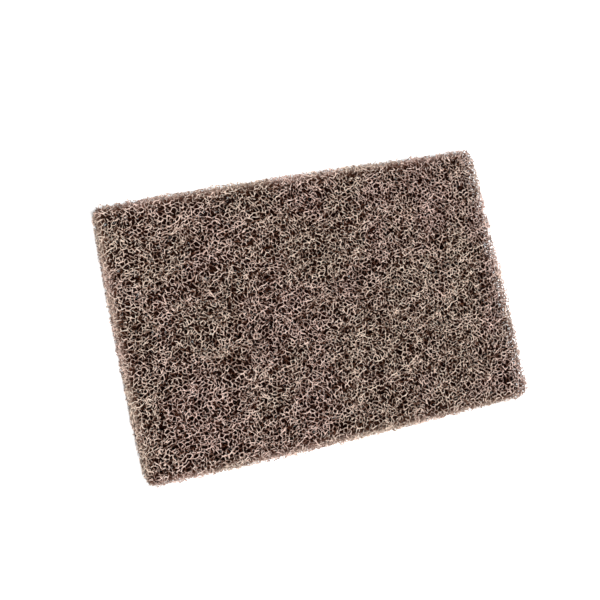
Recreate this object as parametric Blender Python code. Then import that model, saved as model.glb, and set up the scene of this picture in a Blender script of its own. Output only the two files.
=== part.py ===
"""Griddle pad: a flat block of stiff, curled scouring strands, bonded where they cross.

The bonded web is a single piece, so it is one solid. Its skin is a closed net on all six
sides of the block: the strands are the ridges of the net, they meet at crossings, and a
tapering pore sinks into the block inside each mesh of the net. Units are metres, +Z is up,
X runs along the pad, and the origin is the middle of the underside.
"""

import random

import bmesh
import bpy
from mathutils import Vector

# The block, measured over the strands
PAD_LENGTH = 0.152
PAD_WIDTH = 0.102
PAD_THICKNESS = 0.0095
CORNER_RADIUS = 0.0035
# How far the ends of each cut edge fall back from a straight line through its middle
EDGE_BOW = 0.0009

# Pores, one in each mesh of the net
PORE_PITCH = 0.0045
# Share of a pitch by which a pore may lie off an even spacing
PORE_STRAY = 0.31
# What is left between the deepest pores of the two faces
CORE_THICKNESS = 0.0033
DEEPEST_PORE = (PAD_THICKNESS - CORE_THICKNESS) / 2
# Pores differ in depth by up to this much
DEPTH_SPREAD = 0.0009
# Pores in the cut edges end this much sooner, so they stay clear of those in the faces
EDGE_RELIEF = 0.0006
# Pores on the rims, where two sides of the block meet
RIM_PORE = 0.0008

# Strand crossings: most lie a little under the face, and a few stand proud of it and are
# pressed flat with it
LEAST_DROP = 0.00004
MOST_DROP = 0.0003
PROUD_SHARE = 0.025
PROUD_RISE = 0.0003

# A spot whose normal leans less than this from +Z or -Z, as a cosine, is on a face
FACE_LEAN = 0.9
# Two facets that meet more sharply than this, as a cosine, are on different sides
SIDE_TURN = 0.5

WEB_COLOUR = (0.250, 0.178, 0.148, 1.0)
WEB_ROUGHNESS = 0.72
SEED = 46


def clear_scene():
    for old in list(bpy.data.objects):
        bpy.data.objects.remove(old, do_unlink=True)


def web_material():
    material = bpy.data.materials.new("brown_scouring_web")
    material.use_nodes = True
    shader = material.node_tree.nodes["Principled BSDF"]
    shader.inputs["Base Color"].default_value = WEB_COLOUR
    shader.inputs["Roughness"].default_value = WEB_ROUGHNESS
    shader.inputs["Metallic"].default_value = 0.0
    material.diffuse_color = WEB_COLOUR
    return material


def block(size):
    """A box of this size that stands on the origin."""
    bm = bmesh.new()
    bmesh.ops.create_cube(bm, size=1.0)
    bmesh.ops.scale(bm, vec=size, verts=bm.verts)
    bmesh.ops.translate(bm, vec=(0.0, 0.0, size.z / 2), verts=bm.verts)
    return bm


def pore_counts(size):
    """How many pitches fit along each side of the block, two at the least."""
    return [max(2, round(length / PORE_PITCH)) for length in size]


def divide_skin(bm, size, counts):
    """Cuts the skin of the block into a grid, with one corner of the grid for each pore."""
    low = Vector((-size.x / 2, -size.y / 2, 0.0))
    for axis in range(3):
        normal = Vector((0.0, 0.0, 0.0))
        normal[axis] = 1.0
        for cut in range(1, counts[axis]):
            point = low + normal * (size[axis] * cut / counts[axis])
            skin = bm.verts[:] + bm.edges[:] + bm.faces[:]
            bmesh.ops.bisect_plane(bm, geom=skin, plane_co=point, plane_no=normal)


def stray(bm, size, counts, rng):
    """Moves each pore off the even grid, but not off the sides of the block it lies on."""
    spans = [(-size.x / 2, size.x / 2), (-size.y / 2, size.y / 2), (0.0, size.z)]
    for vert in bm.verts:
        for axis, (low, high) in enumerate(spans):
            spacing = size[axis] / counts[axis]
            offset = spacing * rng.uniform(-PORE_STRAY, PORE_STRAY)
            if low + spacing / 2 < vert.co[axis] < high - spacing / 2:
                vert.co[axis] += offset


def round_outline(bm, size):
    """Rounds the four upright corners and bows the four cut edges, seen from above."""
    half = Vector((size.x / 2, size.y / 2))
    inner = half - Vector((CORNER_RADIUS, CORNER_RADIUS))
    for vert in bm.verts:
        place = vert.co.xy
        past = Vector((max(0.0, abs(place.x) - inner.x), max(0.0, abs(place.y) - inner.y)))
        if past.x and past.y and past.length > CORNER_RADIUS:
            past = past.normalized() * CORNER_RADIUS
            place.x = (inner.x + past.x) * (1 if place.x > 0 else -1)
            place.y = (inner.y + past.y) * (1 if place.y > 0 else -1)
        vert.co.x = place.x * (1 - EDGE_BOW / half.x * (place.y / half.y) ** 2)
        vert.co.y = place.y * (1 - EDGE_BOW / half.y * (place.x / half.x) ** 2)


def on_rim(vert):
    """Whether a pore lies where two sides of the block meet."""
    directions = [face.normal for face in vert.link_faces]
    return any(a.dot(b) < SIDE_TURN for a in directions for b in directions)


def on_face(vert):
    """Whether a spot lies on the top or the underside of the block."""
    return abs(vert.normal.z) > FACE_LEAN


def pore_moves(bm, rng):
    """How far each pore sinks into the block, as (vertex, move)."""
    bm.normal_update()
    moves = []
    for vert in bm.verts:
        depth = DEEPEST_PORE - rng.uniform(0.0, DEPTH_SPREAD)
        if on_rim(vert):
            depth = RIM_PORE
        elif not on_face(vert):
            depth -= EDGE_RELIEF
        moves.append((vert, -vert.normal * depth))
    return moves


def crossing_rise(vert, rng):
    """How far a crossing stands over its side of the block."""
    sunk = -rng.uniform(LEAST_DROP, MOST_DROP)
    proud = rng.random() < PROUD_SHARE
    if proud and on_face(vert):
        return PROUD_RISE
    return sunk


def strand_net(bm):
    """Sets a strand crossing in each triangle and turns each edge to join two crossings.

    The old corners are then the pores, each ringed by strands. Returns the crossings.
    """
    borders = bm.edges[:]
    crossings = bmesh.ops.poke(bm, faces=bm.faces[:])["verts"]
    bmesh.ops.rotate_edges(bm, edges=borders)
    bm.normal_update()
    return crossings


def press_flat(bm, height, outward):
    """Trims the crossings that stand past this level and closes the flats that it leaves."""
    skin = bm.verts[:] + bm.edges[:] + bm.faces[:]
    level = (0.0, 0.0, height)
    bmesh.ops.bisect_plane(
        bm, geom=skin, plane_co=level, plane_no=(0.0, 0.0, outward), clear_outer=True
    )
    rims = [edge for edge in bm.edges if edge.is_boundary]
    bmesh.ops.holes_fill(bm, edges=rims, sides=0)


def griddle_pad(collection):
    rng = random.Random(SEED)
    size = Vector((PAD_LENGTH, PAD_WIDTH, PAD_THICKNESS))
    counts = pore_counts(size)
    bm = block(size)
    divide_skin(bm, size, counts)
    stray(bm, size, counts, rng)
    bmesh.ops.triangulate(bm, faces=bm.faces[:], quad_method="BEAUTY")
    round_outline(bm, size)
    moves = pore_moves(bm, rng)
    for vert in strand_net(bm):
        vert.co += vert.normal * crossing_rise(vert, rng)
    for vert, move in moves:
        vert.co += move
    press_flat(bm, PAD_THICKNESS, 1.0)
    press_flat(bm, 0.0, -1.0)
    bmesh.ops.recalc_face_normals(bm, faces=bm.faces[:])
    mesh = bpy.data.meshes.new("griddle_pad")
    bm.to_mesh(mesh)
    bm.free()
    mesh.materials.append(web_material())
    pad = bpy.data.objects.new("griddle_pad", mesh)
    collection.objects.link(pad)


def main():
    clear_scene()
    collection = bpy.data.collections.new("griddle_pad")
    bpy.context.scene.collection.children.link(collection)
    griddle_pad(collection)


main()
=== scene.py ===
"""Looks of the griddle pad: an open web of stiff, curled scouring strands on a pale floor.

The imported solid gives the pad's block. Here it is replaced by the strands themselves. At its
two faces they are joined into nets with round pores. Loose ones curl at random behind its four
edges, in its core and over its underside, and all are cut off at the edges. Lengths are in
metres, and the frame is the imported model's own.
"""

import logging
import math
from dataclasses import dataclass, field
from enum import Enum
from typing import Any

import bpy
import numpy as np
from mathutils import Euler, Matrix, Vector


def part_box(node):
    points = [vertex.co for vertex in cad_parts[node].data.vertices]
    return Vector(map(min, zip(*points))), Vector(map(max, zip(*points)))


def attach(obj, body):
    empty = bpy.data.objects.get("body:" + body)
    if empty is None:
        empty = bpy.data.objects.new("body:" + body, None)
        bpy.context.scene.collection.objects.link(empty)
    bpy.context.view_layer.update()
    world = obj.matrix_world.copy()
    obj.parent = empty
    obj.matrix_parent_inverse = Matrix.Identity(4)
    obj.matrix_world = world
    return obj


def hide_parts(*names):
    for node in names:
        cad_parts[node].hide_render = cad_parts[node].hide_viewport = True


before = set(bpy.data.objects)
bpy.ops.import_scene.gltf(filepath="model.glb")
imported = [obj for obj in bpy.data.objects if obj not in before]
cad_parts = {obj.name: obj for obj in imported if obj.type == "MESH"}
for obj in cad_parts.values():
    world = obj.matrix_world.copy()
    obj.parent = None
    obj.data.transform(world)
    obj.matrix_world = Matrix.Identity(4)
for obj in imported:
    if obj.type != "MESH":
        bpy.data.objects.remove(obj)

log = logging.getLogger("griddle_pad")
MM = 0.001
TINY = 1e-12  # keeps a division by a length from failing
Array = np.ndarray


def eased(values: Array) -> Array:
    """Smooths values along each strand: half of each, and a quarter of each neighbour.

    Args:
        values: shaped (strand, ring) or (strand, ring, number).

    Returns:
        The smoothed values, in the same shape.
    """
    before = np.concatenate([values[:, :1], values[:, :-1]], axis=1)
    after = np.concatenate([values[:, 1:], values[:, -1:]], axis=1)
    return 0.25 * before + 0.5 * values + 0.25 * after


# Shader helpers.


@dataclass(frozen=True)
class Signal:
    """A shader value that is written with plain arithmetic.

    Args:
        bench: the node bench that the value's nodes stand on.
        socket: the output socket that carries the value.
    """

    bench: "NodeBench"
    socket: Any

    def _maths(self, operation: str, *values: Any) -> "Signal":
        """One Math node with this operation on the values, in their order."""
        inputs = dict(enumerate(values))
        return self.bench.node("ShaderNodeMath", {"operation": operation}, inputs)[0]

    def __add__(self, other: Any) -> "Signal":
        """This value plus another."""
        return self._maths("ADD", self, other)

    def __radd__(self, other: Any) -> "Signal":
        """A number plus this value."""
        return self._maths("ADD", other, self)

    def __sub__(self, other: Any) -> "Signal":
        """This value minus another."""
        return self._maths("SUBTRACT", self, other)

    def __rsub__(self, other: Any) -> "Signal":
        """A number minus this value."""
        return self._maths("SUBTRACT", other, self)

    def __mul__(self, other: Any) -> "Signal":
        """This value times another."""
        return self._maths("MULTIPLY", self, other)

    def __rmul__(self, other: Any) -> "Signal":
        """A number times this value."""
        return self._maths("MULTIPLY", other, self)

    def __abs__(self) -> "Signal":
        """This value without its sign."""
        return self._maths("ABSOLUTE", self)

    def least(self, other: Any) -> "Signal":
        """The smaller of this value and another."""
        return self._maths("MINIMUM", self, other)

    def spread(self, low: float, high: float, to_low: float = 0.0, to_high: float = 1.0) -> "Signal":
        """Carries low..high onto to_low..to_high with eased ends, and holds it there.

        Args:
            low: value that gives to_low.
            high: value that gives to_high.
            to_low: result at low and below.
            to_high: result at high and above.

        Returns:
            The carried value.
        """
        settings = {"interpolation_type": "SMOOTHSTEP"}
        inputs = {0: self, 1: low, 2: high, 3: to_low, 4: to_high}
        return self.bench.node("ShaderNodeMapRange", settings, inputs)[0]


class NodeBench:
    """Adds nodes to one node tree.

    The numbers are places of sockets: the colour Mix node's inputs, and the outputs of the
    Texture Coordinate, Attribute and Light Path nodes.
    """

    MIX_FACTOR = 0
    MIX_FIRST = 6
    MIX_SECOND = 7
    OBJECT_PLACE = 3
    ATTRIBUTE_VALUE = 2
    CAMERA_RAY = 0
    GLOSSY_RAY = 3
    TRANSMITTED_RAY = 6

    def __init__(self, tree: bpy.types.NodeTree) -> None:
        """Takes a material's or world's node tree and clears it."""
        self.tree = tree
        self.tree.nodes.clear()

    def node(self, kind: str, settings: dict[str, Any], inputs: dict[Any, Any]) -> list[Signal]:
        """Adds a node, sets it up and links it.

        Args:
            kind: the node's type.
            settings: the node's own properties, set before its sockets.
            inputs: socket name or number to a value, a colour or a Signal.

        Returns:
            The node's enabled outputs, in order.
        """
        made = self.tree.nodes.new(kind)
        for name, value in settings.items():
            setattr(made, name, value)
        for name, value in inputs.items():
            socket = made.inputs[name]
            if isinstance(value, Signal):
                self.tree.links.new(value.socket, socket)
            else:
                socket.default_value = value
        return [Signal(self, out) for out in made.outputs if out.enabled]

    def mix(self, factor: Any, first: Any, second: Any, blend: str = "MIX") -> Signal:
        """Mixes two colours.

        Args:
            factor: 0 gives the first, 1 the second, or the whole of the blend.
            first: colour or Signal.
            second: colour or Signal.
            blend: the Mix node's blend type.

        Returns:
            The mixed colour.
        """
        settings = {"data_type": "RGBA", "blend_type": blend}
        inputs = {self.MIX_FACTOR: factor, self.MIX_FIRST: first, self.MIX_SECOND: second}
        return self.node("ShaderNodeMix", settings, inputs)[0]

    def place(self) -> Signal:
        """Coordinates in metres, which are the same for every piece."""
        return self.node("ShaderNodeTexCoord", {}, {})[self.OBJECT_PLACE]

    def noise(self, where: Signal, scale: float, detail: float = 2.0) -> Signal:
        """Smooth noise about 0.5, with scale blobs to the metre and detail finer layers."""
        inputs = {"Vector": where, "Scale": scale, "Detail": detail}
        return self.node("ShaderNodeTexNoise", {"noise_dimensions": "3D"}, inputs)[0]

    def bump(self, height: Signal, distance: float, strength: float = 1.0) -> Signal:
        """A normal for this height in metres times distance."""
        inputs = {"Height": height, "Distance": distance, "Strength": strength}
        return self.node("ShaderNodeBump", {}, inputs)[0]


# Finishes.


@dataclass(frozen=True)
class ScouringStrand:
    """Finish of the strands: brown fibre under a gritty resin coat.

    At the faces the colour goes with the strand's tone, from brown fibre to a pale coat of
    resin, with specks of grit. Deeper in the web shade is painted into the colour: with depth
    it turns to brown and then nearly to black. Near the cut edges the web is painted paler, because
    the painted shade's depth is counted from them as well, and more slowly.

    Args:
        pale: colour of the coat of resin.
        brown: colour of the bare fibre, and of the painted shade partway down.
        painted_shade: colour of the painted shade deep in the web, nearly black.
        grit: colour of the specks.
        blush: one end of the slow change of tint over the pad.
        straw: its other end.
        tint_reach: values of the noise that give blush and straw.
        roughness: roughness of the coat.
        roughness_play: how much rougher and smoother it gets with the grain.
        gloss: level of its reflections.
        painted_shade_from: depth at which the painted shade starts to darken the colour.
        painted_shade_to: depth at which the colour is the full painted shade.
        brown_share: where between these two the painted shade is brown.
        painted_edge_light: depth counted for each metre in from a cut edge, which paints the web paler
            near the edges.
        grit_per_metre: grains to the metre.
        grit_reach: values of the noise at which specks begin and are full.
        grain_reach: values of the noise between which most of it lies.
        grain_height: height of the grain.
        grain_strength: share of it that shows.
        tint_per_metre: blobs of tint to the metre.
    """

    pale: tuple = (1.000, 0.785, 0.695, 1.0)
    brown: tuple = (0.170, 0.066, 0.036, 1.0)
    painted_shade: tuple = (0.016, 0.0022, 0.0002, 1.0)
    grit: tuple = (1.000, 0.880, 0.805, 1.0)
    blush: tuple = (1.0, 0.93, 0.92, 1.0)
    straw: tuple = (0.97, 0.97, 0.90, 1.0)
    tint_reach: tuple = (0.35, 0.65)
    roughness: float = 0.46
    roughness_play: float = 0.12
    gloss: float = 0.08
    painted_shade_from: float = 0.02 * MM
    painted_shade_to: float = 0.90 * MM
    brown_share: float = 0.55
    painted_edge_light: float = 0.16
    grit_per_metre: float = 1500.0
    grit_reach: tuple = (0.50, 0.62)
    grain_reach: tuple = (0.3, 0.7)
    grain_height: float = 0.10 * MM
    grain_strength: float = 0.7
    tint_per_metre: float = 55.0

    def material(self, block: "Block") -> bpy.types.Material:
        """Builds the material.

        Args:
            block: the pad's block, which says how deep in the web a spot lies for the painted shade.

        Returns:
            The material.
        """
        material = bpy.data.materials.new("scouring_strand")
        material.use_nodes = True
        bench = NodeBench(material.node_tree)
        where = bench.place()
        tone = bench.node("ShaderNodeAttribute", {"attribute_name": "tone"}, {})[bench.ATTRIBUTE_VALUE]
        x, y, z = bench.node("ShaderNodeSeparateXYZ", {}, {0: where})
        under = z.least(block.thickness - z)
        inward = (block.half_length - abs(x)).least(block.half_width - abs(y))
        # Painted light at the cut edges: the distance in from an edge counts as a smaller depth, so
        # the edges are painted paler.
        depth = under.least(inward * self.painted_edge_light)
        coat = bench.noise(where, self.grit_per_metre, detail=3.0)
        patch = bench.noise(where, self.tint_per_metre)
        body = bench.mix(tone, self.brown, self.pale)
        body = bench.mix(coat.spread(*self.grit_reach), body, self.grit)
        # Painted shade: with depth under a face the colour turns to brown, then nearly to black.
        middle = self.painted_shade_from + self.brown_share * (self.painted_shade_to - self.painted_shade_from)
        body = bench.mix(depth.spread(self.painted_shade_from, middle), body, self.brown)
        body = bench.mix(depth.spread(self.painted_shade_from, self.painted_shade_to), body, self.painted_shade)
        tint = bench.mix(patch.spread(*self.tint_reach), self.blush, self.straw)
        body = bench.mix(1.0, body, tint, "MULTIPLY")
        rougher = self.roughness + self.roughness_play
        smoother = self.roughness - self.roughness_play
        inputs = {
            "Base Color": body,
            "Roughness": coat.spread(*self.grain_reach, rougher, smoother),
            "Specular IOR Level": self.gloss,
            "Normal": bench.bump(coat, self.grain_height, self.grain_strength),
        }
        shader = bench.node("ShaderNodeBsdfPrincipled", {}, inputs)[0]
        bench.node("ShaderNodeOutputMaterial", {}, {"Surface": shader})
        return material


@dataclass(frozen=True)
class StudioFloor:
    """Finish of the floor: matt white paper that photographs white and keeps the shadow, with a thin
    shadow painted round the pad's outline.

    Args:
        paper: colour of the paper.
        lift: how much light is added to what is seen of it.
        fade_from: how far in under the pad the added light has ended.
        painted_rim_shadow_reach: how far outside the pad it is whole. Inside this reach the lift is
            thinner, which paints a thin shadow round the pad's outline.
    """

    paper: tuple = (0.84, 0.83, 0.825, 1.0)
    lift: float = 0.60
    fade_from: float = 0.6 * MM
    painted_rim_shadow_reach: float = 1.8 * MM

    def material(self, block: "Block") -> bpy.types.Material:
        """Builds the material.

        Only what is seen directly or in a reflection is lifted to white, and not under the
        pad, where the floor is in the dark. The lift fades out across the pad's outline, which paints
        a thin shadow all round it.

        Args:
            block: the pad's block.

        Returns:
            The material.
        """
        material = bpy.data.materials.new("studio_paper")
        material.use_nodes = True
        bench = NodeBench(material.node_tree)
        x, y, _ = bench.node("ShaderNodeSeparateXYZ", {}, {0: bench.place()})
        inward = (block.half_length - abs(x)).least(block.half_width - abs(y))
        # Painted shadow: the lift fades out over a thin rim round the pad's outline.
        clear = inward.spread(-self.painted_rim_shadow_reach, self.fade_from, 1.0, 0.0)
        rays = bench.node("ShaderNodeLightPath", {}, {})
        seen = rays[bench.CAMERA_RAY] + rays[bench.GLOSSY_RAY] + rays[bench.TRANSMITTED_RAY]
        paper = bench.node("ShaderNodeBsdfDiffuse", {}, {"Color": self.paper})[0]
        glow = bench.node("ShaderNodeEmission", {}, {"Strength": seen * clear * self.lift})[0]
        both = bench.node("ShaderNodeAddShader", {}, {0: paper, 1: glow})[0]
        bench.node("ShaderNodeOutputMaterial", {}, {"Surface": both})
        return material


# The web.


@dataclass(frozen=True)
class Block:
    """The space that the web fills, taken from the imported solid.

    Args:
        half_length: half the pad's length, along X.
        half_width: half its width, along Y.
        thickness: its height over the floor.
        corner_radius: radius of the upright corners.
        bow: how far the ends of a cut edge fall back from its middle.
    """

    half_length: float
    half_width: float
    thickness: float
    corner_radius: float = 3.5 * MM
    bow: float = 0.9 * MM

    @classmethod
    def of_node(cls, node: str) -> "Block":
        """Reads the block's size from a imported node's box."""
        low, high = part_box(node)
        return cls((high[0] - low[0]) / 2, (high[1] - low[1]) / 2, high[2] - low[2])

    def outside(self, x: Array, y: Array) -> Array:
        """Distance of points outside the outline, below zero inside it.

        The outline is a rectangle with round corners: how far a point lies past the inner
        rectangle, less the corner's radius. The bow adds to a point's distance by the square
        of its place along the edge.

        Args:
            x: places along the pad.
            y: places across it.

        Returns:
            Distances, in the shape of x.
        """
        u = np.abs(x) + self.bow * (y / self.half_width) ** 2
        v = np.abs(y) + self.bow * (x / self.half_length) ** 2
        u = u - (self.half_length - self.corner_radius)
        v = v - (self.half_width - self.corner_radius)
        past = np.hypot(np.maximum(u, 0.0), np.maximum(v, 0.0))
        return past + np.minimum(np.maximum(u, v), 0.0) - self.corner_radius


class Layer(Enum):
    """Where in the thickness a bed of strands lies.

    Each is a pair of levels, as shares of the thickness, and how strongly the strands crowd
    towards the first of them, with 1 for not at all.
    """

    UNDER = (-0.02, 0.38, 2.3)
    CORE = (0.26, 0.74, 1.0)
    WHOLE = (0.03, 0.97, 1.0)

    def heights(self, share: Array, thickness: float) -> Array:
        """Heights for shares from 0 to 1: first + (last - first) * share ** crowding."""
        first, last, crowding = self.value
        return thickness * (first + (last - first) * share**crowding)


@dataclass(frozen=True)
class Curl:
    """How a strand bends: waves of its heading along its length.

    Args:
        reach: length of a wave, from and to.
        swing: how far the heading turns each way, in radians, from and to.
    """

    reach: tuple
    swing: tuple

    def wave(self, rng: np.random.Generator, run: Array, count: int) -> Array:
        """The wave swing * sin(2 pi run / reach + phase), with a row for each strand.

        Args:
            rng: the source of the random numbers.
            run: distances along a strand.
            count: how many strands.

        Returns:
            Angles, or heights where the swing is a length.
        """
        reach = rng.uniform(*self.reach, (count, 1))
        swing = rng.uniform(*self.swing, (count, 1))
        phase = rng.uniform(0.0, 2.0 * math.pi, (count, 1))
        return swing * np.sin(2.0 * math.pi * run / reach + phase)


@dataclass(frozen=True)
class Spreading:
    """Evens out how close the strands of a bed lie to each other.

    Args:
        cell: side of the cells in which the strands are counted.
        slab: height of the slabs in which they are counted.
        soft: reach of the smoothing of the count.
        wide: reach of the hollows above which they are left as they are.
        groups: how many groups the strands are dealt into. Only strands of one group keep
            clear of each other, so that the groups still cross.
        rounds: how many times the strands are moved.
        pull: share of the full move that is made each time.
        least_mean: the least mean count, so that a nearly empty slab throws nothing about.
        hair: how far under the highest level all points are kept, in slabs.
    """

    cell: float = 0.5 * MM
    slab: float = 0.9 * MM
    soft: float = 0.5 * MM
    wide: float = 4.0 * MM
    groups: int = 2
    rounds: int = 5
    pull: float = 0.65
    least_mean: float = 0.02
    hair: float = 0.001

    def spread(self, line: Array, reach: Array, thickness: float) -> Array:
        """Moves strands sideways, from where they crowd to where they are few.

        The move is the slope of a potential whose Laplacian is the excess of strand, which
        is the count over its mean less one. It is solved in waves: the wave of the move is
        -i k / k^2 times the wave of the excess. Only waves between the soft and the wide
        reach count: exp(-k^2 soft^2 / 2) - exp(-k^2 wide^2 / 2).

        Args:
            line: middle lines, shaped (strand, ring, 3).
            reach: half the sides of the rectangle that the lines are wrapped round.
            thickness: the block's height.

        Returns:
            The moved lines.
        """
        cells = np.round(2.0 * reach / self.cell).astype(int)
        size = 2.0 * reach / cells
        slabs = int(math.ceil(thickness / self.slab)) + 1
        wave_x = 2.0 * math.pi * np.fft.fftfreq(cells[0], size[0])[:, None]
        wave_y = 2.0 * math.pi * np.fft.fftfreq(cells[1], size[1])[None, :]
        square = wave_x**2 + wave_y**2
        smooth = np.exp(-0.5 * square * self.soft**2) - np.exp(-0.5 * square * self.wide**2)
        square[0, 0] = 1.0
        level = np.clip(line[:, :, 2] / self.slab, 0.0, slabs - 1 - self.hair)
        lower = level.astype(int)
        upper_share = level - lower
        lower += slabs * (np.arange(len(line)) % self.groups)[:, None]
        slabs *= self.groups
        place = line[:, :, :2].copy()
        for _ in range(self.rounds):
            spot = np.floor((place + reach) / size).astype(int) % cells
            flat = spot[:, :, 0] * cells[1] + spot[:, :, 1]
            below = lower * cells.prod() + flat
            room = slabs * cells.prod()
            count = np.bincount(below.ravel(), (1.0 - upper_share).ravel(), room)
            count += np.bincount((below + cells.prod()).ravel(), upper_share.ravel(), room)
            count = count.reshape(slabs, cells[0], cells[1])
            mean = count.mean(axis=(1, 2), keepdims=True)
            excess = np.fft.fft2(count / np.maximum(mean, self.least_mean) - 1.0) * smooth / square
            moves = [np.fft.ifft2(-1j * wave * excess).real for wave in (wave_x, wave_y)]
            move = np.stack(moves, axis=3).reshape(-1, 2)
            step = move[below] * (1.0 - upper_share[:, :, None])
            step += move[below + cells.prod()] * upper_share[:, :, None]
            place += self.pull * eased(step)
        return np.concatenate([np.mod(place + reach, 2.0 * reach) - reach, line[:, :, 2:]], axis=2)


@dataclass(frozen=True)
class Pores:
    """Pores of the web, which the strands part to pass.

    The pores stand in rows, with every second row half a pitch along. Each strays from its
    place, leans as it goes down, and has a width of its own.

    Args:
        pitch: distance between neighbouring pores.
        stray: how far a pore strays each way, as a share of the pitch.
        lean: how far a pore goes sideways over its depth, as a share of that depth.
        widths: reach of the narrowest and the widest pore, as shares of the usual one.
        reach: how far the usual pore moves strands, as a share of the pitch.
        clear: share of a pore's reach that is left clear of strands at a face.
        fade: depth under a face at which the pores end, among the strands of the core.
        least_gap: distance from a pore's middle that is counted at least.
        seed: seed of the pores.
    """

    pitch: float = 1.5 * MM
    stray: float = 0.3
    lean: float = 0.2
    widths: tuple = (0.7, 1.3)
    reach: float = 0.56
    clear: float = 0.85
    fade: float = 2.2 * MM
    least_gap: float = 0.01 * MM
    seed: int = 5

    def part(self, line: Array, half: Array, thickness: float) -> Array:
        """Moves strands out of the pores.

        A point at the share u of its pore's reach moves out to the share
        sqrt(c^2 + (1 - c^2) u^2), with c the clear share, which opens the pore's middle and
        leaves its rim in place.

        Args:
            line: middle lines, shaped (strand, ring, 3).
            half: half the sides of the rectangle that the lines are wrapped round.
            thickness: the block's height.

        Returns:
            The moved lines.
        """
        rng = np.random.default_rng(self.seed)
        columns = round(2.0 * half[0] / self.pitch)
        rows = 2 * round(half[1] / (self.pitch * math.sin(math.pi / 3.0)))
        size = 2.0 * half / np.array([columns, rows])
        stray = rng.uniform(-self.stray, self.stray, (columns, rows, 2)) * self.pitch
        lean = rng.uniform(-self.lean, self.lean, (columns, rows, 2))
        reach = rng.uniform(*self.widths, (columns, rows)) * self.reach * self.pitch
        place = line[:, :, :2] + half
        height = line[:, :, 2:]
        row = np.floor(place[:, :, 1] / size[1]).astype(int)
        best = np.full(row.shape, np.inf)
        away = np.zeros_like(place)
        span = np.ones(row.shape)
        for down in (-1, 0, 1):
            shift = 0.5 * ((row + down) % 2)
            column = np.floor(place[:, :, 0] / size[0] - shift).astype(int)
            for along in (-1, 0, 1):
                key = ((column + along) % columns, (row + down) % rows)
                middle_x = (column + along + shift + 0.5) * size[0]
                middle_y = (row + down + 0.5) * size[1]
                middle = np.stack([middle_x, middle_y], axis=2) + stray[key] + lean[key] * height
                gap = place - middle
                share = np.linalg.norm(gap, axis=2) / reach[key]
                nearer = share < best
                best = np.where(nearer, share, best)
                away = np.where(nearer[:, :, None], gap, away)
                span = np.where(nearer, reach[key], span)
        inside = np.minimum(best, 1.0)
        level = height[:, :, 0]
        under = np.minimum(level, thickness - level)
        clear = self.clear * np.clip(1.0 - under / self.fade, 0.0, 1.0)
        moved = np.sqrt(clear**2 + (1.0 - clear**2) * inside**2)
        push = (moved - inside) * span / np.maximum(best * span, self.least_gap)
        place = place + away * push[:, :, None] - half
        return np.concatenate([place, height], axis=2)


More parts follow.
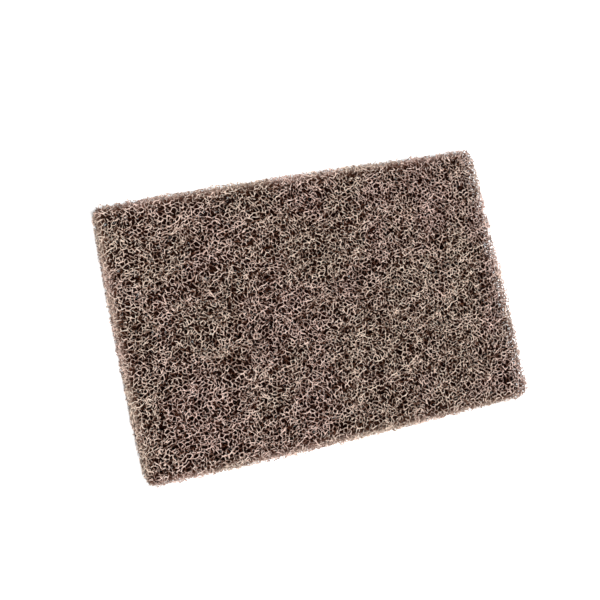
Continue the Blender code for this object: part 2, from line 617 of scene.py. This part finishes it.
@dataclass(kw_only=True)
class Bed:
    """Strands of one part of the web.

    Args:
        name: the name of its pieces, to which a number is added.
        seed: seed of the bed.
        diameter: usual thickness of a strand.
        sides: flats round a strand.
        step: usual distance between a strand's rings.
        give: how unevenly the pad's edges cut the strands.
        give_limits: how far short of the edge and past it a strand may end.
        shortest_run: steps in the shortest length that is kept.
        own_spread: how much strands differ in thickness.
        own_limits: the least and the greatest of it, as shares of the usual one.
        swell_spread: how much the thickness changes from ring to ring.
        lump_share: share of the rings that have a lump of resin.
        lump_gain: how much a lump adds.
        ring_limits: the least and the greatest thickness at a ring, as shares of the strand's.
        tone_shape: the two numbers of the beta spread of tones, with pale ones more common.
        tone_run: rings for which a strand keeps a tone.
        resin_gain: how much paler a strand gets as it thickens.
        broken: share of the steps that are missing.
        rim: how far in from the pad's edges the strands are kept.
        inset: how far in from the pad's edges they begin.
        softness: how softly a strand levels off at a face.
        clearance: height of its middle over that face, as a share of its diameter.
    """

    WALLS_SHARE = 0.86  # of the height of a cell of the map
    END_REACH = (0.45, 0.40)  # of a closed end from its middle, in cells of the map

    name: str
    seed: int
    diameter: float = 0.38 * MM
    sides: int = 3
    step: float = 0.62 * MM
    give: float = 0.35 * MM
    give_limits: tuple = (-1.0 * MM, 0.8 * MM)
    shortest_run: int = 2
    own_spread: float = 0.14
    own_limits: tuple = (0.65, 1.4)
    swell_spread: float = 0.10
    lump_share: float = 0.12
    lump_gain: float = 0.45
    ring_limits: tuple = (0.75, 1.6)
    tone_shape: tuple = (1.0, 0.7)
    tone_run: int = 30
    resin_gain: float = 1.6
    broken: float = 0.0
    rim: float = 1.0
    inset: float = 0.0
    softness: float = 0.16 * MM
    clearance: float = 0.56
    rng: np.random.Generator = field(init=False)

    def __post_init__(self) -> None:
        """Starts the bed's own random numbers."""
        self.rng = np.random.default_rng(self.seed)

    def lines(self, block: Block) -> list[Array]:
        """Middle lines of the strands, in arrays that are each shaped (strand, ring, 3)."""
        raise NotImplementedError

    def levelled(self, height: Array, thickness: float) -> Array:
        """Presses heights between the faces: the soft least of the height and the face level.

        The soft least of h and f is f - w * ln(1 + exp((f - h) / w)), with w the softness.

        Args:
            height: heights before pressing.
            thickness: the block's height.

        Returns:
            Heights between about half a strand over the floor and as much under the top.
        """
        soft = self.softness
        room = self.clearance * self.diameter
        top = thickness - room
        height = top - soft * np.logaddexp(0.0, (top - height) / soft)
        return room + soft * np.logaddexp(0.0, (height - room) / soft)

    def radii(self, count: int, rings: int) -> Array:
        """Radius at each ring: the strand's own, times a swell, with lumps of resin.

        Args:
            count: how many strands.
            rings: how many rings each.

        Returns:
            Radii, shaped (strand, ring).
        """
        own = self.rng.normal(1.0, self.own_spread, (count, 1)).clip(*self.own_limits)
        swell = 1.0 + self.swell_spread * self.rng.standard_normal((count, rings))
        lumps = self.lump_gain * (self.rng.random((count, rings)) < self.lump_share)
        return 0.5 * self.diameter * own * (swell + lumps).clip(*self.ring_limits)

    def tones(self, radius: Array) -> Array:
        """Tone at each ring, from 0 for bare brown fibre to 1 for a pale coat of resin and grit.

        A strand keeps a tone for some rings, eased into the next one, and is paler where it
        carries more resin, which is where it is thick: tone + gain * (radius over the usual
        one - 1).

        Args:
            radius: shaped (strand, ring).

        Returns:
            Tones, in the shape of radius.
        """
        count, rings = radius.shape
        own = self.rng.beta(*self.tone_shape, (count, rings // self.tone_run + 1))
        own = eased(np.repeat(own, self.tone_run, axis=1)[:, :rings])
        return np.clip(own + self.resin_gain * (2.0 * radius / self.diameter - 1.0), 0.0, 1.0)

    def kept_steps(self, line: Array, block: Block) -> Array:
        """Which steps between rings are inside the pad's ragged outline and long enough a run.

        A mark of +1 at the start of each short run and of -1 at its end add up to 1 all along
        it, which is how its steps are found.

        Args:
            line: middle lines, shaped (strand, ring, 3).
            block: the space that the web fills.

        Returns:
            True for each kept step, shaped (strand, ring - 1).
        """
        count, rings = line.shape[:2]
        give = self.rng.normal(0.0, self.give, (count, 1)).clip(*self.give_limits)
        outside = block.outside(line[:, :, 0], line[:, :, 1])
        inside = (outside < give - self.inset) & (outside > -self.rim)
        kept = inside[:, :-1] & inside[:, 1:]
        kept &= self.rng.random(kept.shape) >= self.broken
        padded = np.zeros((count, rings + 1), dtype=np.int8)
        padded[:, 1:-1] = kept
        turn = np.diff(padded, axis=1).ravel()
        starts = np.flatnonzero(turn == 1)
        ends = np.flatnonzero(turn == -1)
        short = (ends - starts) < min(self.shortest_run, rings - 1)
        marks = np.zeros(turn.size + 1, dtype=np.int32)
        np.add.at(marks, starts[short], 1)
        np.add.at(marks, ends[short], -1)
        dropped = np.cumsum(marks)[:-1].reshape(count, rings)[:, :-1] > 0
        return kept & ~dropped

    def rings_round(self, line: Array, radius: Array) -> Array:
        """Ring points: the middle line plus radius * (cos a * side + sin a * up).

        Side is level and square to the strand, and up is square to both.

        Args:
            line: middle lines, shaped (strand, ring, 3).
            radius: shaped (strand, ring).

        Returns:
            Points, shaped (strand, ring, side, 3).
        """
        ahead = np.gradient(line, axis=1)
        ahead /= np.linalg.norm(ahead, axis=2, keepdims=True) + TINY
        side = np.stack([-ahead[:, :, 1], ahead[:, :, 0], np.zeros_like(radius)], axis=2)
        side /= np.linalg.norm(side, axis=2, keepdims=True) + TINY
        up = np.cross(ahead, side)[:, :, None, :]
        angle = self.corner_angles()[:, None]
        spoke = np.cos(angle) * side[:, :, None, :] + np.sin(angle) * up
        return line[:, :, None, :] + radius[:, :, None, None] * spoke

    def corner_angles(self) -> Array:
        """Where the corners stand round a strand, in radians."""
        return (np.arange(self.sides) + 0.5) * 2.0 * math.pi / self.sides

    def tape(self, cells: int, height_of_cell: float) -> tuple[Array, Array, float, float]:
        """Lays cells in rows on a unit square, as a tape cut into lengths.

        Args:
            cells: how many cells.
            height_of_cell: a cell's height over its width.

        Returns:
            The left and lower side of each cell, and a cell's width and height.
        """
        rows = max(1, int(math.sqrt(cells / height_of_cell)))
        columns = math.ceil(cells / rows)
        cell = np.arange(cells)
        return (cell % columns) / columns, (cell // columns) / rows, 1.0 / columns, 1.0 / rows

    def mesh(self, name: str, line: Array, radius: Array, kept: Array, tone: Array) -> bpy.types.Mesh:
        """Builds a mesh: a tube round each kept run of a strand, closed at its ends.

        Args:
            name: the mesh's name.
            line: middle lines, shaped (strand, ring, 3).
            radius: shaped (strand, ring).
            kept: True for each kept step, shaped (strand, ring - 1).
            tone: shaped (strand, ring).

        Returns:
            The mesh, with its tone attribute and its unfolded map.
        """
        count, rings = radius.shape
        points = self.rings_round(line, radius).reshape(-1, 3)
        tone = np.repeat(tone.ravel(), self.sides)
        strand, step = np.nonzero(kept)
        first = (strand * rings + step) * self.sides
        around = np.arange(self.sides)
        following = (around + 1) % self.sides
        walls = np.stack(
            [
                first[:, None] + around,
                first[:, None] + following,
                first[:, None] + self.sides + following,
                first[:, None] + self.sides + around,
            ],
            axis=2,
        ).reshape(-1, 4)
        before = np.zeros_like(kept)
        before[:, 1:] = kept[:, :-1]
        after = np.zeros_like(kept)
        after[:, :-1] = kept[:, 1:]
        strand, step = np.nonzero(kept & ~before)
        near_ends = ((strand * rings + step) * self.sides)[:, None] + around[::-1]
        strand, step = np.nonzero(kept & ~after)
        far_ends = ((strand * rings + step + 1) * self.sides)[:, None] + around
        ends = np.concatenate([near_ends, far_ends])

        corners = np.concatenate([walls.ravel(), ends.ravel()])
        used, corners = np.unique(corners, return_inverse=True)
        totals = np.concatenate([np.full(len(walls), 4), np.full(len(ends), self.sides)])
        mesh = bpy.data.meshes.new(name)
        mesh.vertices.add(len(used))
        mesh.vertices.foreach_set("co", points[used].astype(np.float32).ravel())
        mesh.loops.add(len(corners))
        mesh.loops.foreach_set("vertex_index", corners.astype(np.int32))
        mesh.polygons.add(len(totals))
        starts = np.concatenate([[0], np.cumsum(totals)[:-1]])
        mesh.polygons.foreach_set("loop_start", starts.astype(np.int32))
        mesh.polygons.foreach_set("use_smooth", np.ones(len(totals), dtype=bool))
        mesh.update(calc_edges=True)
        mesh.attributes.new("tone", "FLOAT", "POINT").data.foreach_set(
            "value", tone[used].astype(np.float32)
        )
        self.unfold(mesh, len(first), len(ends))
        return mesh

    def unfold(self, mesh: bpy.types.Mesh, steps: int, ends: int) -> None:
        """Gives the mesh its map: each step of a strand is a cell of the tape.

        The sides of a step share most of its cell's height, so that cells keep apart. Each
        closed end has a cell too, and lies round its middle.

        Args:
            mesh: the piece's mesh, walls first and ends after them.
            steps: how many steps have walls.
            ends: how many ends are closed.
        """
        girth = math.pi * self.diameter
        left, low, width, height = self.tape(steps + ends, girth / self.step)
        fill = self.WALLS_SHARE
        band = np.arange(self.sides) / self.sides
        across = np.array([0.0, 0.0, 1.0, 1.0])
        along = np.array([0.0, 1.0, 1.0, 0.0])
        u = left[:steps, None, None] + width * across
        v = low[:steps, None, None] + height * fill * (band[:, None] + along / self.sides)
        u = np.broadcast_to(u, v.shape).ravel()
        v = v.ravel()
        angle = self.corner_angles()
        end_u = left[steps:, None] + width * (0.5 + self.END_REACH[0] * np.cos(angle))
        end_v = low[steps:, None] + height * (0.5 * fill + self.END_REACH[1] * np.sin(angle))
        u = np.concatenate([u, end_u.ravel()])
        v = np.concatenate([v, end_v.ravel()])
        layer = mesh.uv_layers.new(name="OFBake")
        layer.data.foreach_set("uv", np.stack([u, v], axis=1).astype(np.float32).ravel())

    def dress(self, mesh: bpy.types.Mesh, finish: bpy.types.Material) -> None:
        """Makes a piece of a mesh, dresses it and ties it to the pad.

        Args:
            mesh: the piece's mesh.
            finish: the strands' material.
        """
        mesh.materials.append(finish)
        piece = bpy.data.objects.new(mesh.name, mesh)
        bpy.context.scene.collection.objects.link(piece)
        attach(piece, "root")
        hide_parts("griddle_pad")
        log.info("%s: %d triangles", piece.name, len(mesh.loops) - 2 * len(mesh.polygons))

    def build(self, block: Block, finish: bpy.types.Material) -> None:
        """Lays the strands, cuts them at the pad's edges and makes the pieces.

        Args:
            block: the space that the web fills.
            finish: the strands' material.
        """
        for number, line in enumerate(self.lines(block), start=1):
            radius = self.radii(len(line), line.shape[1])
            kept = self.kept_steps(line, block)
            tone = self.tones(radius)
            self.dress(self.mesh(f"{self.name}_{number}", line, radius, kept, tone), finish)


@dataclass(kw_only=True)
class StrandBed(Bed):
    """Loose strands that lie in one layer of the web.

    Their starts are scattered evenly. Each is the last one plus the shares 1 / g, 1 / g^2 and
    1 / g^3 of the bed's length, width and height, with g the root of g^4 = g + 1, which keep
    any number of starts well apart. It then strays by less than its own share of room.

    Args:
        layer: where in the thickness the strands lie.
        length: length of strand in the bed, in metres.
        strand_length: length of one strand before the pad's edges cut it.
        margin: how far past the pad's edges the strands are laid before they are cut.
        curls: how the strands bend sideways.
        rises: how they rise and fall.
        spreading: how they keep clear of each other.
        pores: the pores that they part round.
    """

    EVEN_ROOT = 1.2207440846  # g

    layer: Layer
    length: float
    strand_length: float = 12.0 * MM
    margin: float = 2.5 * MM
    curls: tuple = (
        Curl((2.6 * MM, 4.6 * MM), (0.35, 1.0)),
        Curl((5.0 * MM, 12.0 * MM), (0.6, 1.6)),
    )
    rises: tuple = (
        Curl((3.5 * MM, 6.5 * MM), (0.15 * MM, 0.50 * MM)),
        Curl((8.0 * MM, 20.0 * MM), (0.20 * MM, 0.60 * MM)),
    )
    spreading: Spreading = Spreading()
    pores: Pores = Pores()

    def lines(self, block: Block) -> list[Array]:
        """Middle lines of the strands.

        The heading is a start angle plus the curls. The place is the sum of the steps along
        it, wrapped round a rectangle a little larger than the pad, so that the web is as
        dense at its edges as in its middle. The height is the strand's own plus its rises,
        and levels off softly at the two faces. The strands are then evened out and part round
        the pores.

        Args:
            block: the space to fill.

        Returns:
            One array of points, shaped (strand, ring, 3).
        """
        count = self.strand_count(block)
        rings = int(self.strand_length / self.step)
        run = np.arange(rings)[None, :] * self.step
        heading = self.rng.uniform(0.0, 2.0 * math.pi, (count, 1))
        for curl in self.curls:
            heading = heading + curl.wave(self.rng, run, count)
        start = self.starts(count)
        height = self.layer.heights(start[:, 2:], block.thickness)
        for rise in self.rises:
            height = height + rise.wave(self.rng, run, count)
        height = self.levelled(height, block.thickness)
        slope = np.gradient(height, self.step, axis=1)
        flat = 1.0 / np.sqrt(1.0 + slope**2)
        reach = np.array([block.half_length, block.half_width]) + self.margin
        start = start[:, :2] * 2.0 * reach - reach
        x = start[:, :1] + np.cumsum(np.cos(heading) * flat, axis=1) * self.step
        y = start[:, 1:] + np.cumsum(np.sin(heading) * flat, axis=1) * self.step
        line = np.stack([x, y, height], axis=2)
        line = self.spreading.spread(line, reach, block.thickness)
        return [self.pores.part(line, reach, block.thickness)]

    def starts(self, count: int) -> Array:
        """Starts as shares of the bed's length, width and height, shaped (strand, 3)."""
        share = np.arange(count)[:, None] / self.EVEN_ROOT ** np.arange(1.0, 4.0)
        return np.mod(share + self.rng.uniform(-0.5, 0.5, (count, 3)) / count**0.5, 1.0)

    def strand_count(self, block: Block) -> int:
        """How many strands to lay, so that the bed's length lies on the pad."""
        pad = block.half_length * block.half_width
        laid = (block.half_length + self.margin) * (block.half_width + self.margin)
        return round(self.length / self.strand_length * laid / pad)


@dataclass(kw_only=True)
class NetSheet(Bed):
    """A sheet of strands that are joined to their neighbours, with round pores between them.

    The strands run side by side in zigzags, and a short link joins each bend to the bend of
    the next strand that faces it. Waves of many lengths then bend the sheet out of line,
    every joint strays a little of its own, and some steps are missing.

    Args:
        level: height of the sheet, as a share of the thickness.
        turn: which way its strands run.
        pitch: distance between the middles of neighbouring pores.
        stray: how far a joint strays from its place.
        rough: how far a joint rises or falls on its own.
        stray_limit: how many times as far as the usual it strays or rises at most.
        bends: lengths of the waves that bend the sheet sideways, from and to.
        bend_share: how far they bend it, as a share of their length.
        swells: lengths of the waves that raise and lower it, from and to.
        swell_height: how far each raises and lowers it.
        waves: how many waves of each kind.
    """

    level: float
    turn: float
    pitch: float = 1.50 * MM
    stray: float = 0.29 * MM
    rough: float = 0.20 * MM
    stray_limit: float = 2.0
    bends: tuple = (4.0 * MM, 20.0 * MM)
    bend_share: float = 0.014
    swells: tuple = (2.5 * MM, 6.0 * MM)
    swell_height: float = 0.06 * MM
    waves: int = 14
    shortest_run: int = 1
    tone_run: int = 3
    broken: float = 0.10

    def lines(self, block: Block) -> list[Array]:
        """The strands' zigzags, and the links between them.

        With a the side of a six-sided pore, the strands are 1.5 a apart, and the bends of a
        strand are a * sqrt(3) / 2 apart along it, by turns a / 4 to one side and to the other.

        Args:
            block: the space to fill.

        Returns:
            The strands and the links, each shaped (strand, ring, 3).
        """
        side = self.pitch / math.sqrt(3.0)
        reach = math.hypot(block.half_length, block.half_width) + self.pitch
        columns = math.ceil(4.0 * reach / self.pitch)
        rows = math.ceil(2.0 * reach / (1.5 * side))
        column = np.arange(columns)[None, :] + np.zeros((rows, 1))
        row = np.arange(rows)[:, None] + np.zeros((1, columns))
        facing = (column + row) % 2 == 0
        along = (column - 0.5 * columns) * 0.5 * self.pitch
        across = (row - 0.5 * rows) * 1.5 * side + np.where(facing, 0.25, -0.25) * side
        x = along * math.cos(self.turn) - across * math.sin(self.turn)
        y = along * math.sin(self.turn) + across * math.cos(self.turn)
        stray = self.rng.normal(0.0, 1.0, (3, rows, columns))
        stray = stray.clip(-self.stray_limit, self.stray_limit)
        bend_x = self.swell(x, y, self.bends, self.bend_share, True)
        bend_y = self.swell(x, y, self.bends, self.bend_share, True)
        height = self.level * block.thickness + stray[2] * self.rough
        height = height + self.swell(x, y, self.swells, self.swell_height, False)
        height = self.levelled(height, block.thickness)
        x = x + bend_x + stray[0] * self.stray
        y = y + bend_y + stray[1] * self.stray
        strands = np.stack([x, y, height], axis=2)
        linked = facing[:-1]
        links = np.stack([strands[:-1][linked], strands[1:][linked]], axis=1)
        return [strands, links]

    def swell(self, x: Array, y: Array, lengths: tuple, height: float, by_length: bool) -> Array:
        """Sum of waves over the sheet: height * sin(2 pi (x cos a + y sin a) / length + phase).

        Args:
            x: places along the pad.
            y: places across it.
            lengths: lengths of the waves, from and to.
            height: height of a wave, or its share of the length.
            by_length: whether the height is a share of the length.

        Returns:
            The sum, in the shape of x.
        """
        length = self.rng.uniform(*lengths, self.waves)
        way = self.rng.uniform(0.0, 2.0 * math.pi, self.waves)
        phase = self.rng.uniform(0.0, 2.0 * math.pi, self.waves)
        tall = height * (length if by_length else np.ones(self.waves))
        run = x[..., None] * np.cos(way) + y[..., None] * np.sin(way)
        return (tall * np.sin(2.0 * math.pi * run / length + phase)).sum(axis=-1)


@dataclass
class Web:
    """The whole pad: nets at its two faces, a tangle behind its edges and a coarser core.

    Args:
        block: the space that the web fills.
        finish: what its strands are made of.
    """

    block: Block
    finish: ScouringStrand = ScouringStrand()

    def beds(self) -> list[Bed]:
        """The beds of strands, from the top down."""
        return [
            NetSheet(name="face_net", seed=47, level=1.0, turn=2.2, broken=0.50, shortest_run=2),
            NetSheet(name="top_net", seed=41, level=0.985, turn=0.4),
            NetSheet(name="second_net", seed=43, level=0.89, turn=1.3),
            StrandBed(
                name="rim_strands",
                seed=13,
                layer=Layer.WHOLE,
                length=130.0,
                rim=3.2 * MM,
                diameter=0.34 * MM,
                rises=(
                    Curl((3.0 * MM, 6.0 * MM), (0.3 * MM, 0.9 * MM)),
                    Curl((8.0 * MM, 16.0 * MM), (0.4 * MM, 1.6 * MM)),
                ),
            ),
            StrandBed(
                name="core_strands",
                seed=31,
                layer=Layer.CORE,
                length=20.0,
                inset=2.6 * MM,
                diameter=1.0 * MM,
                step=1.4 * MM,
            ),
            StrandBed(name="under_strands", seed=21, layer=Layer.UNDER, length=12.0),
            NetSheet(name="second_under_net", seed=49, level=0.11, turn=0.9),
            NetSheet(name="under_net", seed=45, level=0.02, turn=-0.3),
        ]

    def build(self) -> None:
        """Builds every bed in one material."""
        material = self.finish.material(self.block)
        for bed in self.beds():
            bed.build(self.block, material)


# The studio.


@dataclass
class Studio:
    """Floor, light and camera.

    Args:
        block: the space that the web fills.
        floor_half: half the floor's side.
        floor_finish: what the floor is made of.
        sky_level: strength of the surround's light on the pad. It is seen as white.
        key_level: strength of the key light.
        key_spread: how wide the key light is, as an angle.
        key_tilt: how far the key light leans from upright towards the pad's near side.
        key_turn: which way it then turns.
        camera_place: where the camera stands.
        camera_shift: how far it is moved along its own X.
        camera_turns: turns of the world about X, Y and Z in the camera's view, which has Y
            down and Z ahead.
        lens_in_widths: focal length over the picture's width.
        sensor_width: width of the sensor, in millimetres.
        sight: the nearest and the farthest thing that the camera shows.
    """

    block: Block
    floor_half: float = 1.5
    floor_finish: StudioFloor = StudioFloor()
    sky_level: float = 0.12
    key_level: float = 3.6
    key_spread: float = math.radians(10.0)
    key_tilt: float = math.radians(14.0)
    key_turn: float = math.radians(-5.0)
    camera_place: Vector = Vector((-0.09497, -0.02214, 0.31234))
    camera_shift: float = -0.62 * MM
    camera_turns: tuple = (-0.08457, -0.2809, -0.19138)
    lens_in_widths: float = 857.0 / 600.0
    sensor_width: float = 36.0
    sight: tuple = (0.01, 20.0)

    def lay_floor(self) -> None:
        """Lays the floor level with the underside of the pad."""
        half = self.floor_half
        corners = [(-half, -half, 0.0), (half, -half, 0.0), (half, half, 0.0), (-half, half, 0.0)]
        mesh = bpy.data.meshes.new("studio_floor")
        mesh.from_pydata(corners, [], [(0, 1, 2, 3)])
        mesh.materials.append(self.floor_finish.material(self.block))
        floor = bpy.data.objects.new("studio_floor", mesh)
        bpy.context.scene.collection.objects.link(floor)

    def light(self) -> None:
        """Sets a soft key light over the pad and an even, pale surround."""
        key = bpy.data.lights.new("key", "SUN")
        key.energy = self.key_level
        key.angle = self.key_spread
        lamp = bpy.data.objects.new("key", key)
        lamp.rotation_euler = Euler((self.key_tilt, 0.0, self.key_turn))
        bpy.context.scene.collection.objects.link(lamp)
        world = bpy.data.worlds.new("surround")
        world.use_nodes = True
        bench = NodeBench(world.node_tree)
        seen = bench.node("ShaderNodeLightPath", {}, {})[bench.CAMERA_RAY]
        level = seen + (1.0 - seen) * self.sky_level
        inputs = {"Color": (1.0, 1.0, 1.0, 1.0), "Strength": level}
        sky = bench.node("ShaderNodeBackground", {}, inputs)[0]
        bench.node("ShaderNodeOutputWorld", {}, {"Surface": sky})
        bpy.context.scene.world = world

    def camera_matrix(self) -> Matrix:
        """Where the camera stands and how it is turned."""
        about_x, about_y, about_z = self.camera_turns
        turn = Matrix.Rotation(about_z, 3, "Z") @ Matrix.Rotation(about_y, 3, "Y")
        turn = turn @ Matrix.Rotation(about_x, 3, "X")
        flip = Matrix(((1, 0, 0), (0, -1, 0), (0, 0, -1)))
        world = (turn @ flip).transposed() @ flip
        place = self.camera_place + self.camera_shift * world.col[0]
        return Matrix.Translation(place) @ world.to_4x4()

    def place_camera(self) -> None:
        """Adds the camera at the photograph's angle."""
        lens = bpy.data.cameras.new("camera")
        lens.sensor_width = self.sensor_width
        lens.lens = self.sensor_width * self.lens_in_widths
        lens.clip_start, lens.clip_end = self.sight
        camera = bpy.data.objects.new("camera", lens)
        camera.matrix_world = self.camera_matrix()
        bpy.context.scene.collection.objects.link(camera)
        bpy.context.scene.camera = camera

    def build(self) -> None:
        """Sets up the whole studio."""
        self.lay_floor()
        self.light()
        self.place_camera()
        bpy.context.scene.view_settings.view_transform = "Standard"


def main() -> None:
    """Builds the pad and its studio."""
    logging.basicConfig(level=logging.INFO, format="%(name)s: %(message)s")
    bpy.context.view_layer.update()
    block = Block.of_node("griddle_pad")
    Studio(block).build()
    Web(block).build()


if __name__ == "__main__":
    main()
